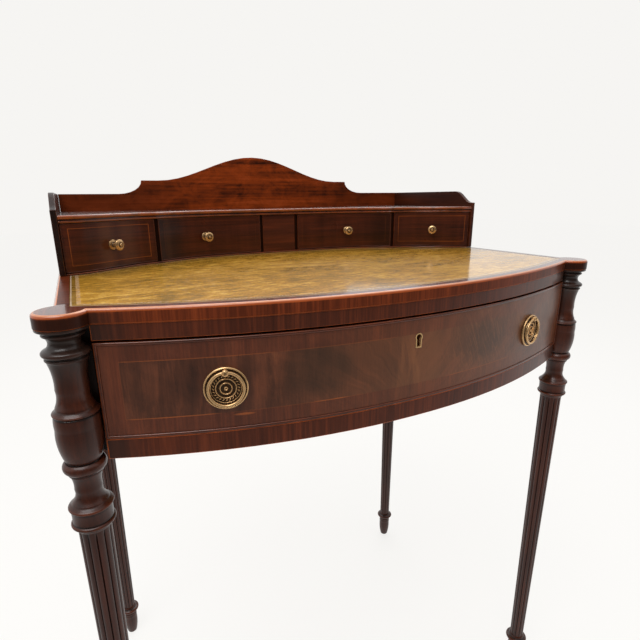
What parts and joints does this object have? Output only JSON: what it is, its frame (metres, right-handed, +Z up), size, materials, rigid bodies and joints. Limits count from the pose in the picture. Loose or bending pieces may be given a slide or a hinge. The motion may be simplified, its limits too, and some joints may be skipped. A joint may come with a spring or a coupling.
{
  "type": "escritoire",
  "caption": "Bow-fronted writing table on turned reeded legs, with a long drawer, an inset leather writing surface and a low curved gallery of small drawers under a shaped crest.",
  "frame": {"origin": "on the floor under the middle of the top board's width and depth", "axes": "+Z up, -Y towards the sitter at the bowed front, +X to the sitter's right"},
  "size_m": [0.705, 0.504, 0.9234],
  "materials": {
    "solid_mahogany": "French polished, deep red brown",
    "veneered_mahogany": "French polished figured veneer with crossbanding and boxwood strings",
    "inner_oak": "bare, dry and aged",
    "old_brass": "old lacquered brass, dark in the hollows",
    "olive_leather": "worn hide, tooled border"
  },
  "bodies": {
    "case": {"top_board": "veneered_mahogany", "writing_leather": "olive_leather", "front_leg_left": "solid_mahogany", "front_leg_right": "solid_mahogany", "back_leg_left": "solid_mahogany", "back_leg_right": "solid_mahogany", "corner_post_left": "solid_mahogany", "corner_post_right": "solid_mahogany", "side_panel_left": "veneered_mahogany", "side_panel_right": "veneered_mahogany", "back_panel": "inner_oak", "upper_front_rail": "veneered_mahogany", "lower_front_rail": "veneered_mahogany", "drawer_runner_left": "inner_oak", "drawer_runner_right": "inner_oak", "drawer_kicker_left": "inner_oak", "drawer_kicker_right": "inner_oak", "drawer_stop_left": "inner_oak", "drawer_stop_right": "inner_oak", "gallery_base": "solid_mahogany", "gallery_end_left": "solid_mahogany", "gallery_end_right": "solid_mahogany", "gallery_crest": "solid_mahogany", "gallery_shelf": "solid_mahogany", "partition_outer_left": "solid_mahogany", "partition_outer_right": "solid_mahogany", "partition_inner_left": "solid_mahogany", "partition_inner_right": "solid_mahogany", "centre_panel": "veneered_mahogany"},
    "long_drawer": {"drawer_lip": "solid_mahogany", "drawer_front": "veneered_mahogany", "drawer_side_left": "inner_oak", "drawer_side_right": "inner_oak", "drawer_back": "inner_oak", "drawer_bottom": "inner_oak", "lock_case": "old_brass", "escutcheon": "old_brass", "pull_plate_left": "old_brass", "pull_plate_right": "old_brass", "pull_post_left": "old_brass", "pull_post_right": "old_brass"},
    "lock_bolt": {"lock_bolt": "old_brass"},
    "pull_ring_left": {"pull_ring_left": "old_brass"},
    "pull_ring_right": {"pull_ring_right": "old_brass"},
    "small_drawer_outer_left": {"small_drawer_front_outer_left": "veneered_mahogany", "small_drawer_box_outer_left": "inner_oak", "small_drawer_bottom_outer_left": "inner_oak", "knob_outer_left": "old_brass"},
    "small_drawer_inner_left": {"small_drawer_front_inner_left": "veneered_mahogany", "small_drawer_box_inner_left": "inner_oak", "small_drawer_bottom_inner_left": "inner_oak", "knob_inner_left": "old_brass"},
    "small_drawer_inner_right": {"small_drawer_front_inner_right": "veneered_mahogany", "small_drawer_box_inner_right": "inner_oak", "small_drawer_bottom_inner_right": "inner_oak", "knob_inner_right": "old_brass"},
    "small_drawer_outer_right": {"small_drawer_front_outer_right": "veneered_mahogany", "small_drawer_box_outer_right": "inner_oak", "small_drawer_bottom_outer_right": "inner_oak", "knob_outer_right": "old_brass"}
  },
  "joints": [
    {"name": "long_drawer_slide", "type": "slide", "parent": "case", "child": "long_drawer", "axis": [0, -1, 0], "range_m": [0, 0.3]},
    {"name": "lock_bolt_slide", "type": "slide", "parent": "long_drawer", "child": "lock_bolt", "axis": [0, 0, 1], "range_m": [0, 0.008]},
    {"name": "pull_ring_left_hinge", "type": "hinge", "parent": "long_drawer", "child": "pull_ring_left", "pos_m": [-0.20433, -0.22989, 0.6985], "axis": [-0.9667, 0.2559, 0], "range_deg": [0, 165]},
    {"name": "pull_ring_right_hinge", "type": "hinge", "parent": "long_drawer", "child": "pull_ring_right", "pos_m": [0.20433, -0.22989, 0.6985], "axis": [-0.9667, -0.2559, 0], "range_deg": [0, 165]},
    {"name": "small_drawer_outer_left_slide", "type": "slide", "parent": "case", "child": "small_drawer_outer_left", "axis": [0, -1, 0], "range_m": [0, 0.12]},
    {"name": "small_drawer_inner_left_slide", "type": "slide", "parent": "case", "child": "small_drawer_inner_left", "axis": [0, -1, 0], "range_m": [0, 0.085]},
    {"name": "small_drawer_inner_right_slide", "type": "slide", "parent": "case", "child": "small_drawer_inner_right", "axis": [0, -1, 0], "range_m": [0, 0.085]},
    {"name": "small_drawer_outer_right_slide", "type": "slide", "parent": "case", "child": "small_drawer_outer_right", "axis": [0, -1, 0], "range_m": [0, 0.12]}
  ]
}
